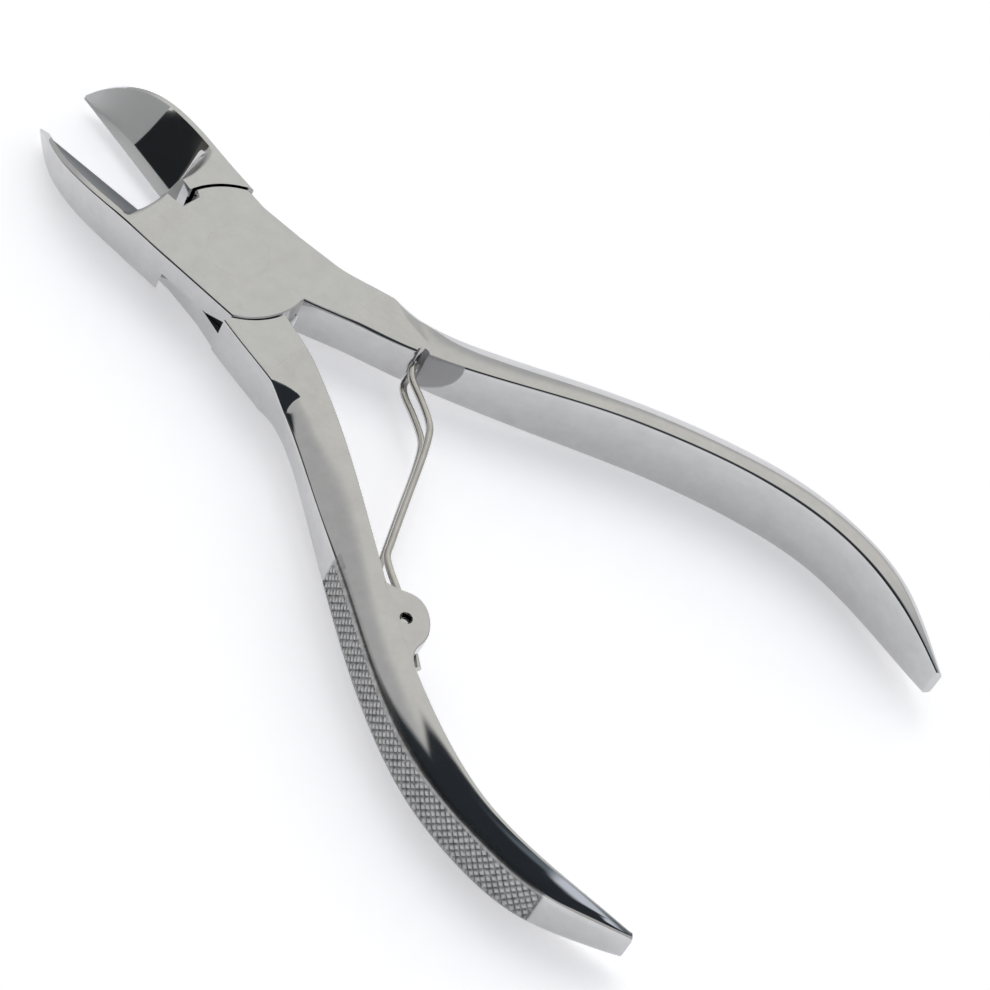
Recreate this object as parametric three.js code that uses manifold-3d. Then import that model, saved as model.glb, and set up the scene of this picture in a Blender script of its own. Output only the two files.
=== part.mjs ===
// Plier-type nail nipper, 130 mm class, shown open. Millimetres, +Z up.
// The origin is on the pivot axis, in the joint's underside. +X runs towards the handles.
// Lever A carries the upper half of the lap joint, the jaw on the -Y side and the smooth handle on +Y.
// Lever B carries the lower half, the jaw on the +Y side and the handle with the spring lug on -Y.
import * as THREE from 'three';
import { mergeVertices } from 'three/addons/utils/BufferGeometryUtils.js';
import Module from 'manifold-3d';

const wasm = await Module();
wasm.setup();

// Lap joint
const JOINT_T = 6.2; // thickness over both plates
const LAP_GAP = 0.3; // between the two plates
const HUB_R = 10.1; // round ends of each plate, about the pivot
const HUB_R_B_FRONT = 9.1; // lever B's plate is shorter at its jaw end
const HUB_GAP = 0.35; // from a plate's end to the other lever's shoulder
const HUB_SEGMENTS = 96;

// Rivet
const RIVET_R = 3.0;
const RIVET_HEAD_R = 4.0;
const RIVET_HEAD_T = 1.0;
const RIVET_GAP = 0.2;
const RIVET_SEGMENTS = 48;

// Jaws, measured along the line from the pivot to the jaw's tip
const JAW_TIP_A = 30.3; // pivot to the tip of lever A's jaw
const JAW_TIP_B = 31.1; // pivot to the tip of lever B's jaw
const JAW_ANGLE_A = 6.9; // degrees that lever A's jaw stands open from the X axis
const JAW_ANGLE_B = 8.6; // the same for lever B
const JAW_LAND = 1.0; // flat strip left along the outer edge
const EDGE_T = 0.3; // thickness left at the cutting edge
const EDGE_INSET = 0.05; // half the gap between the closed edges
const SCOOP_START = 11.4; // where the hollow grinding runs out, at the cutting edge
const SCOOP_RAMP = 2.3; // length of the run-out

// Handles
const HANDLE_LEAN = 0.95; // both handles are set this far towards +Y
const LEAN_START = 8; // the lean begins at this X
const LEAN_END = 18; // and is complete at this one
const FLAT_END = 14; // the joint's flat top and bottom run on to this X
const CROWN_START = 24; // and the handle's own section starts here

// Spring and its lug
const WIRE_R = 0.48;
const WIRE_Z = 1.65; // the two strands lie at plus and minus this height
const PIN_R = 0.6;
const PIN_X = 50.3;
const PIN_Y = -22.2;
const PIN_HALF = 4.1; // half length of the pin, ends set back in their holes
const LUG_HALF = 4.55; // half height over both ears
const SLOT_HALF = 2.3; // half width of the slot between the ears
const GROOVE_X = 24.3;
const GROOVE_Y = 8.95;
const GROOVE_R = 0.85;
const RELIEF_R = 4.8; // shallow round relief in the inner face beside the groove

const HALF_T = JOINT_T / 2;
const lerp = THREE.MathUtils.lerp;
const smooth = THREE.MathUtils.smoothstep;
const rad = THREE.MathUtils.degToRad;

// --- solids -------------------------------------------------------------------------------------------

function solid(geometry) {
  const plain = geometry.clone();
  plain.deleteAttribute('normal');
  plain.deleteAttribute('uv');
  const merged = mergeVertices(plain, 1e-4);
  const mesh = new wasm.Mesh({
    numProp: 3,
    vertProperties: new Float32Array(merged.attributes.position.array),
    triVerts: new Uint32Array(merged.index.array),
  });
  return new wasm.Manifold(mesh);
}

function geometryOf(manifold) {
  const mesh = manifold.getMesh();
  const geometry = new THREE.BufferGeometry();
  geometry.setAttribute('position', new THREE.BufferAttribute(mesh.vertProperties, 3));
  geometry.setIndex(new THREE.BufferAttribute(mesh.triVerts, 1));
  geometry.computeVertexNormals();
  return geometry;
}

// Six times the volume inside a closed mesh: negative while its faces point inwards.
function signedVolume(positions, index) {
  let sum = 0;
  for (let i = 0; i < index.length; i += 3) {
    const [a, b, c] = [0, 1, 2].map((k) => new THREE.Vector3().fromArray(positions, 3 * index[i + k]));
    sum += a.dot(b.cross(c));
  }
  return sum;
}

// Skins a row of closed sections that all have the same number of points. Each end is closed by
// triangles that meet in the middle of its section.
function loft(sections) {
  const n = sections[0].length;
  const points = sections.flat();
  const index = [];
  for (let i = 0; i + 1 < sections.length; i++) {
    for (let j = 0; j < n; j++) {
      const a = i * n + j;
      const b = i * n + ((j + 1) % n);
      index.push(a, b, b + n, a, b + n, a + n);
    }
  }
  const last = (sections.length - 1) * n;
  const middle = (section) => section.reduce((sum, p) => sum.add(p), new THREE.Vector3()).divideScalar(n);
  points.push(middle(sections[0]), middle(sections.at(-1)));
  for (let j = 0; j < n; j++) {
    const next = (j + 1) % n;
    index.push(next, j, last + n);
    index.push(last + j, last + next, last + n + 1);
  }
  const positions = points.flatMap((p) => [p.x, p.y, p.z]);
  if (signedVolume(positions, index) < 0) index.reverse();
  const geometry = new THREE.BufferGeometry();
  geometry.setAttribute('position', new THREE.Float32BufferAttribute(positions, 3));
  geometry.setIndex(index);
  return geometry;
}

function slab(shape, low, high, curveSegments = 24) {
  const geometry = new THREE.ExtrudeGeometry(shape, {
    depth: high - low,
    bevelEnabled: false,
    curveSegments,
  });
  return geometry.translate(0, 0, low);
}

function drum(radius, low, high, x = 0, y = 0, segments = HUB_SEGMENTS) {
  const geometry = new THREE.CylinderGeometry(radius, radius, high - low, segments);
  return geometry.rotateX(Math.PI / 2).translate(x, y, (low + high) / 2);
}

// --- jaws ---------------------------------------------------------------------------------------------

// Width of each jaw, from its cutting edge to its outer edge. Lever B's has the broader nose.
const JAW_OUTLINE_A = new THREE.SplineCurve([
  new THREE.Vector2(5, 7.95),
  new THREE.Vector2(12, 7.5),
  new THREE.Vector2(17, 7.1),
  new THREE.Vector2(21.5, 6.2),
  new THREE.Vector2(25, 4.75),
  new THREE.Vector2(28, 2.5),
  new THREE.Vector2(JAW_TIP_A, 0.25),
]);
const JAW_OUTLINE_B = new THREE.SplineCurve([
  new THREE.Vector2(5, 7.8),
  new THREE.Vector2(12, 7.35),
  new THREE.Vector2(17, 7.1),
  new THREE.Vector2(21.5, 6.4),
  new THREE.Vector2(25, 5.15),
  new THREE.Vector2(28.4, 2.8),
  new THREE.Vector2(JAW_TIP_B, 0.25),
]);
// Height of the outer edge: lever A's jaw falls away early, lever B's keeps its height to the nose.
const JAW_TOP_A = new THREE.SplineCurve([
  new THREE.Vector2(5, HALF_T),
  new THREE.Vector2(14, HALF_T - 0.1),
  new THREE.Vector2(20, 2.3),
  new THREE.Vector2(24, 1.3),
  new THREE.Vector2(28, -0.7),
  new THREE.Vector2(JAW_TIP_A, -2.6),
]);
const JAW_TOP_B = new THREE.SplineCurve([
  new THREE.Vector2(5, HALF_T),
  new THREE.Vector2(14, HALF_T),
  new THREE.Vector2(20, HALF_T),
  new THREE.Vector2(24, 2.9),
  new THREE.Vector2(27.4, 1.9),
  new THREE.Vector2(29.8, -0.3),
  new THREE.Vector2(JAW_TIP_B, -2.4),
]);

// Reads a curve whose first coordinate only grows: the height at the given first coordinate.
function heightAt(curve, u) {
  let low = 0;
  let high = 1;
  for (let i = 0; i < 30; i++) {
    const middle = (low + high) / 2;
    if (curve.getPoint(middle).x < u) low = middle;
    else high = middle;
  }
  return curve.getPoint(low).y;
}

// Height of the jaw's upper side: a flat outer strip, then a hollow falling to the cutting edge.
function jawTop(side, u, v, width, top) {
  const strip = Math.max(width - JAW_LAND, width * 0.5);
  if (v >= strip) return top;
  const edge = -HALF_T + EDGE_T;
  const s = v / strip;
  const hollow = lerp(edge, top, 0.45 * s + 0.55 * s ** 2.2);
  const start = SCOOP_START + (side > 0 ? 0.02 : 0.07) * v * v;
  const depth = smooth(u, start, start + SCOOP_RAMP);
  return lerp(top, hollow, depth);
}

function jawSection(side, u) {
  const width = heightAt(side > 0 ? JAW_OUTLINE_A : JAW_OUTLINE_B, u);
  const top = heightAt(side > 0 ? JAW_TOP_A : JAW_TOP_B, u);
  const wall = Math.min(0.4, width * 0.3, (top + HALF_T) * 0.3);
  const points = [];
  for (const s of [0, 0.12, 0.3, 0.5, 0.7, 0.86]) {
    const v = s * width;
    points.push(new THREE.Vector2(v + EDGE_INSET, jawTop(side, u, v, width, top)));
  }
  points.push(new THREE.Vector2(width - 0.3 * wall, top));
  points.push(new THREE.Vector2(width, top - 0.3 * wall));
  points.push(new THREE.Vector2(width, -HALF_T + wall));
  points.push(new THREE.Vector2(width - wall, -HALF_T));
  points.push(new THREE.Vector2(EDGE_INSET, -HALF_T));
  return points;
}

// From distances along and across a jaw's line to the plan, with the nipper open.
function jawPoint(side, u, v) {
  const angle = rad(side > 0 ? JAW_ANGLE_A : JAW_ANGLE_B);
  const x = -u * Math.cos(angle) + v * Math.sin(angle);
  const y = -u * Math.sin(angle) - v * Math.cos(angle);
  return new THREE.Vector2(x, side * y);
}

// The jaw of lever A (side 1) or of lever B (side -1).
const JAW_STATIONS = [5, 9, 11.4, 12.3, 13.1, 14, 15, 16, 17.4, 19, 21, 23, 25, 26.6, 28, 29.2];

function jaw(side) {
  const tip = side > 0 ? JAW_TIP_A : JAW_TIP_B;
  const sections = [...JAW_STATIONS, tip].map((u) => jawSection(side, u).map((p) => {
    const at = jawPoint(side, u, p.x);
    return new THREE.Vector3(at.x, at.y, p.y);
  }));
  return solid(loft(sections));
}

// --- handles ------------------------------------------------------------------------------------------

// Distance of the inner and outer edges from the handles' centre line, against X.
const INNER_EDGE = new THREE.SplineCurve([
  new THREE.Vector2(8, 0.9),
  new THREE.Vector2(13, 2.8),
  new THREE.Vector2(22.8, 7.1),
  new THREE.Vector2(31.8, 12.4),
  new THREE.Vector2(44.8, 21.0),
  new THREE.Vector2(54.1, 26.3),
  new THREE.Vector2(64.2, 30.7),
  new THREE.Vector2(73, 32.9),
  new THREE.Vector2(81, 33.0),
  new THREE.Vector2(88.2, 31.8),
  new THREE.Vector2(95.2, 29.9),
]);
const OUTER_EDGE = new THREE.SplineCurve([
  new THREE.Vector2(3, 8.6),
  new THREE.Vector2(6, 8.95),
  new THREE.Vector2(9.7, 9.6),
  new THREE.Vector2(14, 10.7),
  new THREE.Vector2(18.5, 12.0),
  new THREE.Vector2(24, 14.4),
  new THREE.Vector2(30, 17.8),
  new THREE.Vector2(42, 24.9),
  new THREE.Vector2(54, 31.6),
  new THREE.Vector2(65, 35.8),
  new THREE.Vector2(76, 37.0),
  new THREE.Vector2(85, 35.9),
  new THREE.Vector2(92, 32.7),
  new THREE.Vector2(95.9, 30.5),
]);
const INNER_HEIGHT = new THREE.SplineCurve([
  new THREE.Vector2(8, HALF_T),
  new THREE.Vector2(24, 3.25),
  new THREE.Vector2(33, 3.9),
  new THREE.Vector2(46, 4.7),
  new THREE.Vector2(60, 5.0),
  new THREE.Vector2(73, 4.75),
  new THREE.Vector2(85, 4.3),
  new THREE.Vector2(92, 3.2),
  new THREE.Vector2(95.2, 2.4),
]);
const OUTER_HEIGHT = new THREE.SplineCurve([
  new THREE.Vector2(3, HALF_T),
  new THREE.Vector2(14, 2.9),
  new THREE.Vector2(18, 2.3),
  new THREE.Vector2(23, 1.8),
  new THREE.Vector2(30, 2.0),
  new THREE.Vector2(42, 3.0),
  new THREE.Vector2(58, 3.1),
  new THREE.Vector2(74, 3.6),
  new THREE.Vector2(86, 3.2),
  new THREE.Vector2(95.9, 1.9),
]);
// How far the handle's section has turned from the joint's flat one into its own.
function turned(x) {
  return smooth(x, FLAT_END, CROWN_START);
}

// How far a point at X is moved towards +Y, so that both handles lean the same way.
function lean(x) {
  return HANDLE_LEAN * smooth(x, LEAN_START, LEAN_END);
}

// Upper half of a handle's section: how far across from the inner edge, and the mix of the two heights.
const CROWN = [[0.05, 0], [0.3, 0.12], [0.55, 0.36], [0.8, 0.7]];

function handleSection(side, inner, outer) {
  const high = lerp(HALF_T, heightAt(INNER_HEIGHT, inner.x), turned(inner.x));
  const low = lerp(HALF_T, heightAt(OUTER_HEIGHT, outer.x), turned(outer.x));
  const shape = turned(outer.x);
  const half = [[0, high - 0.35]];
  for (const [across, mix] of CROWN) half.push([across, lerp(high, low, mix * shape)]);
  half.push([lerp(0.985, 0.94, shape), low]);
  half.push([1, low - lerp(0.2, 0.45 * low, shape)]);
  const ring = [...half, ...half.map(([across, z]) => [across, -z]).reverse()];
  return ring.map(([across, z]) => {
    const x = lerp(inner.x, outer.x, across);
    const y = lerp(inner.y, outer.y, across) + side * lean(x);
    return new THREE.Vector3(x, side * y, z);
  });
}

function handle(side) {
  const sections = [];
  const steps = 30;
  for (let i = 0; i <= steps; i++) {
    const t = i / steps;
    const inner = INNER_EDGE.getPointAt(t);
    const outer = OUTER_EDGE.getPointAt(lerp(0.055, 1, t));
    sections.push(handleSection(side, inner, outer));
  }
  return solid(loft(sections));
}

// --- lap joint ----------------------------------------------------------------------------------------

// Outline of lever A's half plate in plan, or of lever B's mirrored in the XZ plane. Its +Y end
// carries the handle and its -Y end the jaw.
function plateOutline(side) {
  const front = side > 0 ? HUB_R : HUB_R_B_FRONT;
  const swell = side > 0 ? 0.3 : -0.3;
  const rear = Math.atan2(-7.7, 6.55);
  const shape = new THREE.Shape();
  const outer = side > 0 ? JAW_OUTLINE_A : JAW_OUTLINE_B;
  const alongJaw = (u, v) => jawPoint(side, u, v).multiply(new THREE.Vector2(1, side));
  const edge = [11.4, 9, 5].map((u) => alongJaw(u, heightAt(outer, u)));
  shape.moveTo(edge[0].x, edge[0].y);
  shape.lineTo(edge[1].x, edge[1].y);
  shape.lineTo(edge[2].x, edge[2].y);
  shape.lineTo(HUB_R * Math.cos(rear), HUB_R * Math.sin(rear));
  shape.absarc(0, 0, HUB_R, rear, rad(4), false);
  for (const x of [10, 13]) shape.lineTo(x, heightAt(INNER_EDGE, x) + side * lean(x) + 0.2);
  for (const x of [12, 9.5]) shape.lineTo(x, heightAt(OUTER_EDGE, x) + side * lean(x) - 0.12);
  shape.lineTo(2.7, 8.2 + swell);
  shape.lineTo(-3, 7.55 + swell);
  shape.lineTo(front * Math.cos(rad(127)), front * Math.sin(rad(127)));
  shape.absarc(0, 0, front, rad(127), rad(167), false);
  shape.lineTo(-8.9, 1.7);
  for (const [u, v] of [[9.1, 0.15], [10.2, 0.2], [11.1, 2.0]]) {
    const point = alongJaw(u, v);
    shape.lineTo(point.x, point.y);
  }
  return shape;
}

function mirrored(shape) {
  const points = shape.getPoints(24).map((p) => new THREE.Vector2(p.x, -p.y));
  return new THREE.Shape(points.reverse());
}

function rivetProfile(extra) {
  const r = RIVET_R + extra;
  const head = RIVET_HEAD_R + extra;
  const tall = HALF_T + (extra > 0 ? 0.5 : 0);
  const neck = HALF_T - RIVET_HEAD_T;
  return [
    new THREE.Vector2(0, -tall),
    new THREE.Vector2(head, -tall),
    new THREE.Vector2(head, -HALF_T + 0.01),
    new THREE.Vector2(r, -neck),
    new THREE.Vector2(r, neck),
    new THREE.Vector2(head, HALF_T - 0.01),
    new THREE.Vector2(head, tall),
    new THREE.Vector2(0, tall),
  ];
}

function rivetGeometry(extra = 0) {
  return new THREE.LatheGeometry(rivetProfile(extra), RIVET_SEGMENTS).rotateX(Math.PI / 2);
}

// Room for the other lever's half plate, in the lower half for lever A and the upper for lever B.
function plateRoom(side) {
  const near = LAP_GAP / 2;
  const [low, high] = side > 0 ? [-HALF_T - 1, near] : [-near, HALF_T + 1];
  if (side < 0) return solid(drum(HUB_R + HUB_GAP, low, high));
  const back = new THREE.Shape();
  back.moveTo(0, -20);
  back.lineTo(20, -20);
  back.lineTo(20, 20);
  back.lineTo(0, 20);
  const behind = solid(drum(HUB_R + HUB_GAP, low, high)).intersect(solid(slab(back, low, high)));
  return behind.add(solid(drum(HUB_R_B_FRONT + HUB_GAP, low, high)));
}

// One lever: jaw, half plate and handle in one forging, cut clear of the other lever's half plate.
function lever(side) {
  const outline = side > 0 ? plateOutline(side) : mirrored(plateOutline(side));
  const near = LAP_GAP / 2;
  const [low, high] = side > 0 ? [near, HALF_T] : [-HALF_T, -near];
  const ends = jaw(side).add(handle(side)).subtract(plateRoom(side));
  return ends.add(solid(slab(outline, low, high))).subtract(solid(rivetGeometry(RIVET_GAP)));
}

// Rim of the ears for the spring pin, as offsets from the pin, from the joint's side to the handle's end.
const EAR = [
  [-5.3, 1.6], [-3.5, 2.25], [-1.2, 3.4], [0.4, 3.26], [2.07, 2.2], [3.27, 0.66], [3.68, -1.5], [4.5, -3.3],
  [5.6, -4.2],
];

// Two ears for the spring pin, on the inner side of lever B's handle, with the slot between them.
function addLug(body) {
  const turn = Math.atan2(-0.57, 1);
  const along = new THREE.Vector2(Math.cos(turn), Math.sin(turn));
  const up = new THREE.Vector2(-along.y, along.x);
  const at = (a, b) => new THREE.Vector2(
    PIN_X + a * along.x + b * up.x,
    PIN_Y + a * along.y + b * up.y,
  );
  const rim = new THREE.SplineCurve(EAR.map(([x, y]) => new THREE.Vector2(PIN_X + x, PIN_Y + y)));
  const ear = new THREE.Shape([...rim.getPoints(24), at(6.6, -1.5), at(-4.8, -1.5)].reverse());
  const lugs = body.add(solid(slab(ear, -LUG_HALF, LUG_HALF, 16)));
  const slot = new THREE.Shape([at(-9, -1.5), at(4.6, -1.9), at(8.5, -0.6), at(8.5, 6), at(-9, 6)]);
  const slotted = lugs.subtract(solid(slab(slot, -SLOT_HALF, SLOT_HALF)));
  return slotted.subtract(solid(drum(PIN_R + 0.15, -8, 8, PIN_X, PIN_Y, 24)));
}

// The groove across lever A's inner face for the spring's cross bar, and the shallow relief beside it.
function cutGroove(body) {
  const groove = solid(drum(GROOVE_R, -6, 6, GROOVE_X, GROOVE_Y, 24));
  const relief = new THREE.CylinderGeometry(RELIEF_R, RELIEF_R, 2, 40);
  relief.rotateZ(rad(31));
  relief.translate(GROOVE_X + 1.6, GROOVE_Y + 0.1, 2.3);
  return body.subtract(groove).subtract(solid(relief));
}

// --- spring -------------------------------------------------------------------------------------------

// Route of one strand in plan, from its tail behind the pin to the cross bar.
const STRAND = [
  [55.3, -24.0], [52.9, -22.3], [50.9, -20.75], [48.4, -19.2], [45.6, -17.7], [42.2, -15.7],
  [41.3, -14.2], [37.0, -5.9], [32.9, 1.7], [31.6, 3.1], [28.3, 4.9], [25.8, 6.1], [24.7, 7.2],
];

function springGeometry() {
  const lower = STRAND.map(([x, y]) => new THREE.Vector3(x, y, -WIRE_Z));
  const bar = [
    new THREE.Vector3(GROOVE_X, GROOVE_Y - 0.2, -WIRE_Z + 0.7),
    new THREE.Vector3(GROOVE_X, GROOVE_Y - 0.2, WIRE_Z - 0.7),
  ];
  const upper = STRAND.map(([x, y]) => new THREE.Vector3(x, y, WIRE_Z)).reverse();
  const path = new THREE.CatmullRomCurve3([...lower, ...bar, ...upper], false, 'centripetal');
  const section = new THREE.Shape().absarc(0, 0, WIRE_R, 0, 2 * Math.PI, false);
  const sides = new THREE.Shape(section.getPoints(5).slice(0, -1));
  return new THREE.ExtrudeGeometry(sides, { steps: 88, extrudePath: path, bevelEnabled: false });
}

// --- assembly -----------------------------------------------------------------------------------------

const polished = new THREE.MeshStandardMaterial({ color: 0xb9b9b5, roughness: 0.22, metalness: 1 });
const satin = new THREE.MeshStandardMaterial({ color: 0xb4b4ae, roughness: 0.3, metalness: 1 });
const wireSteel = new THREE.MeshStandardMaterial({ color: 0x9c9b92, roughness: 0.28, metalness: 1 });
const pinSteel = new THREE.MeshStandardMaterial({ color: 0xa3a3a3, roughness: 0.25, metalness: 1 });

function named(name, geometry, material) {
  const mesh = new THREE.Mesh(geometry, material);
  mesh.name = name;
  return mesh;
}

const nipper = new THREE.Group();
nipper.add(named('lever_a', geometryOf(cutGroove(lever(1))), polished));
nipper.add(named('lever_b', geometryOf(addLug(lever(-1))), polished));
nipper.add(named('joint_rivet', rivetGeometry(), satin));
nipper.add(named('spring', springGeometry(), wireSteel));
nipper.add(named('spring_pin', drum(PIN_R, -PIN_HALF, PIN_HALF, PIN_X, PIN_Y, 20), pinSteel));

nipper.children.forEach((mesh) => mesh.geometry.translate(0, 0, HALF_T));

export default nipper;
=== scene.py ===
import math

import bmesh
import bpy
import numpy as np
from mathutils import Matrix, Vector


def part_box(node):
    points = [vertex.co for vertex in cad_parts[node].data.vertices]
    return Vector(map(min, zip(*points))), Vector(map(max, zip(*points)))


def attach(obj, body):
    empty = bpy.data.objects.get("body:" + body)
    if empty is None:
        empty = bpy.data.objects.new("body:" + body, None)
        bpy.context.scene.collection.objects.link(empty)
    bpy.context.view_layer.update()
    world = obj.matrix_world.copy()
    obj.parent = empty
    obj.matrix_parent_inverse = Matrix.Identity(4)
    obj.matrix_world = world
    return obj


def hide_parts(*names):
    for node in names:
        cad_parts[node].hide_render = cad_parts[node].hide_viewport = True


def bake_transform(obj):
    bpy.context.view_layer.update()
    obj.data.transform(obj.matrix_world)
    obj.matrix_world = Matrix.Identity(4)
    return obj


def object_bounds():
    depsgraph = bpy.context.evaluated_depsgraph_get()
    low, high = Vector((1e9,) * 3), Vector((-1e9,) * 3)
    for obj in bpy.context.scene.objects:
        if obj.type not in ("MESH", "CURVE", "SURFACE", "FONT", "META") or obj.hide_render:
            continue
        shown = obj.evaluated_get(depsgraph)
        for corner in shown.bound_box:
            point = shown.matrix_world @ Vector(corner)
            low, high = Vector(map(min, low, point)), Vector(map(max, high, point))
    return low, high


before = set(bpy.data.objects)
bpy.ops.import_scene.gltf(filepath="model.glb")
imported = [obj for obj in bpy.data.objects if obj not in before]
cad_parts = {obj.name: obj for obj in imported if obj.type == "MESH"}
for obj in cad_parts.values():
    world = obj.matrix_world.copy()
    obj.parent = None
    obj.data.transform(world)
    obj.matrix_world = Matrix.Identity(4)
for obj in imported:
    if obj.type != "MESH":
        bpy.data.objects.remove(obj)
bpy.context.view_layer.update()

MM = 0.001
rivet_low, rivet_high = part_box("joint_rivet")
pin_low, pin_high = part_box("spring_pin")

# --- sizes, in millimetres --------------------------------------------------------------------------
JOINT_T = (rivet_high.z - rivet_low.z) / MM
H = JOINT_T / 2  # half the joint's thickness; shapes are made about its middle plane, then raised
LAP_GAP = 0.12
HUB_R = 10.1
HUB_R_B_FRONT = 9.1
HUB_GAP = 0.3
RIVET_R = 4.0
RIVET_GAP = 0.006

# In a pair of values, 1 is lever A, whose handle is at +Y, and -1 is lever B.
JAW_TIP = {1: 30.3, -1: 31.1}
JAW_ANGLE = {1: 6.9, -1: 8.6}
EDGE_INSET = 0.05
EDGE_RISE = 0.08
WALL_W, WALL_SHARE = 0.9, 0.55  # the strip beyond the hollow, or its place as a share of a narrow jaw
SCOOP_START = {1: 11.4, -1: 12.0}
SCOOP_SPREAD = {1: 0.02, -1: 0.05}
SCOOP_RAMP = 2.3
SCOOP_LINEAR = 0.57  # share of the hollow's rise that is straight; the rest is curved
BEVEL_W = {1: 0.9, -1: 1.5}  # a narrow second bevel along the cutting edge
BEVEL_SHARE = 0.28  # the most of the hollow's width that it takes near the tip
BEVEL_SLOPE = {1: 0.5, -1: 0.16}

HANDLE_LEAN = 0.95
LEAN_START, LEAN_END = 8.0, 18.0

PIN_X = (pin_low.x + pin_high.x) / 2 / MM
PIN_Y = (pin_low.y + pin_high.y) / 2 / MM
PIN_R = (pin_high.x - pin_low.x) / 2 / MM
PIN_HALF = (pin_high.z - pin_low.z) / 2 / MM
LUG_HALF = 4.76
LUG_TURN = math.atan2(-0.57, 1)  # the handle's direction at the lug
LUG_HOLE_R = 0.82
SLOT_HALF = 2.3
WIRE_R = 0.48
WIRE_Z = 1.65
GROOVE_X, GROOVE_Y, GROOVE_R = 24.3, 8.95, 0.85
RELIEF_R, RELIEF_DEPTH, RELIEF_Z = 5.6, 0.3, 2.3  # shallow dimple ground beside the groove
RELIEF_TOP = 2.8  # the dimple stops just under the handle's top edge
BEYOND = 9  # far enough to pass right through the tool


# --- curves -----------------------------------------------------------------------------------------
class Curve:
    """A natural cubic spline y(x) through its knots."""

    def __init__(self, *knots):
        self.x = np.array([k[0] for k in knots], float)
        self.y = np.array([k[1] for k in knots], float)
        n = len(self.x)
        h = np.diff(self.x)
        a = np.zeros((n, n))
        b = np.zeros(n)
        a[0, 0] = a[-1, -1] = 1
        for i in range(1, n - 1):
            a[i, i - 1] = h[i - 1]
            a[i, i] = 2 * (h[i - 1] + h[i])
            a[i, i + 1] = h[i]
            b[i] = 6 * ((self.y[i + 1] - self.y[i]) / h[i] - (self.y[i] - self.y[i - 1]) / h[i - 1])
        self.m = np.linalg.solve(a, b)

    def __call__(self, x):
        x = np.clip(np.asarray(x, float), self.x[0], self.x[-1])
        i = np.clip(np.searchsorted(self.x, x) - 1, 0, len(self.x) - 2)
        h = self.x[i + 1] - self.x[i]
        a = (self.x[i + 1] - x) / h
        b = (x - self.x[i]) / h
        bend = (a**3 - a) * self.m[i] + (b**3 - b) * self.m[i + 1]
        return a * self.y[i] + b * self.y[i + 1] + bend * h * h / 6

    def spread(self, shares):
        """The x of points at these shares of the curve's length."""
        x = np.linspace(self.x[0], self.x[-1], 3000)
        y = self(x)
        run = np.concatenate([[0], np.cumsum(np.hypot(np.diff(x), np.diff(y)))])
        return np.interp(np.asarray(shares) * run[-1], run, x)


def smooth(x, low, high):
    t = np.clip((np.asarray(x, float) - low) / (high - low), 0, 1)
    return t * t * (3 - 2 * t)


def lerp(a, b, t):
    return a + (b - a) * t


def bezier(p0, p1, p2, count):
    """Points of a rounded corner from p0 to p2 about the corner p1, both ends included."""
    t = np.linspace(0, 1, count)[:, None]
    p0, p1, p2 = (np.asarray(p, float) for p in (p0, p1, p2))
    return (1 - t) ** 2 * p0 + 2 * t * (1 - t) * p1 + t * t * p2


# --- meshes -----------------------------------------------------------------------------------------
def mesh_object(name, points, faces):
    mesh = bpy.data.meshes.new(name)
    mesh.from_pydata([tuple(p) for p in points], [], faces)
    bm = bmesh.new()
    bm.from_mesh(mesh)
    bmesh.ops.recalc_face_normals(bm, faces=bm.faces)
    bm.to_mesh(mesh)
    bm.free()
    obj = bpy.data.objects.new(name, mesh)
    bpy.context.scene.collection.objects.link(obj)
    return obj


def loft(name, rings):
    """Skins closed rings that have the same number of points, with a fan over each end."""
    n = len(rings[0])
    points = [p for ring in rings for p in ring]
    faces = []
    for i in range(len(rings) - 1):
        for j in range(n):
            a, b = i * n + j, i * n + (j + 1) % n
            faces.append((a, b, b + n, a + n))
    for first, ring in ((0, rings[0]), ((len(rings) - 1) * n, rings[-1])):
        points.append(np.mean(ring, axis=0))
        middle = len(points) - 1
        for j in range(n):
            faces.append((first + j, first + (j + 1) % n, middle))
    return mesh_object(name, points, faces)


def slab(name, outline, low, high, round_low=0.0, round_high=0.0, segments=4):
    """A plate of the given outline whose lower and upper edges can be rounded."""
    bm = bmesh.new()
    bottom = [bm.verts.new((x, y, low)) for x, y in outline]
    face = bm.faces.new(bottom)
    top = bmesh.ops.extrude_face_region(bm, geom=[face])["geom"]
    raised = [v for v in top if isinstance(v, bmesh.types.BMVert)]
    bmesh.ops.translate(bm, verts=raised, vec=(0, 0, high - low))
    bmesh.ops.recalc_face_normals(bm, faces=bm.faces)
    for z, width in ((low, round_low), (high, round_high)):
        if width:
            rim = [e for e in bm.edges if all(abs(v.co.z - z) < 1e-6 for v in e.verts)]
            bmesh.ops.bevel(bm, geom=rim, offset=width, segments=segments, profile=0.5, affect="EDGES")
    mesh = bpy.data.meshes.new(name)
    bm.to_mesh(mesh)
    bm.free()
    obj = bpy.data.objects.new(name, mesh)
    bpy.context.scene.collection.objects.link(obj)
    return obj


def drum(name, radius, low, high, x=0.0, y=0.0, segments=128, **rounding):
    turn = np.linspace(0, 2 * math.pi, segments, endpoint=False)
    outline = [(x + radius * math.cos(t), y + radius * math.sin(t)) for t in turn]
    return slab(name, outline, low, high, **rounding)


def ball(name, middle, radius, segments=120, levels=80):
    turn = np.linspace(0, 2 * math.pi, segments, endpoint=False)
    ring = np.column_stack([np.cos(turn), np.sin(turn), np.zeros(segments)])
    rings = []
    for rise in np.linspace(-math.pi / 2, math.pi / 2, levels + 2)[1:-1]:
        rings.append(np.array(middle) + radius * (math.cos(rise) * ring + np.array((0, 0, math.sin(rise)))))
    return loft(name, rings)


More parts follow.
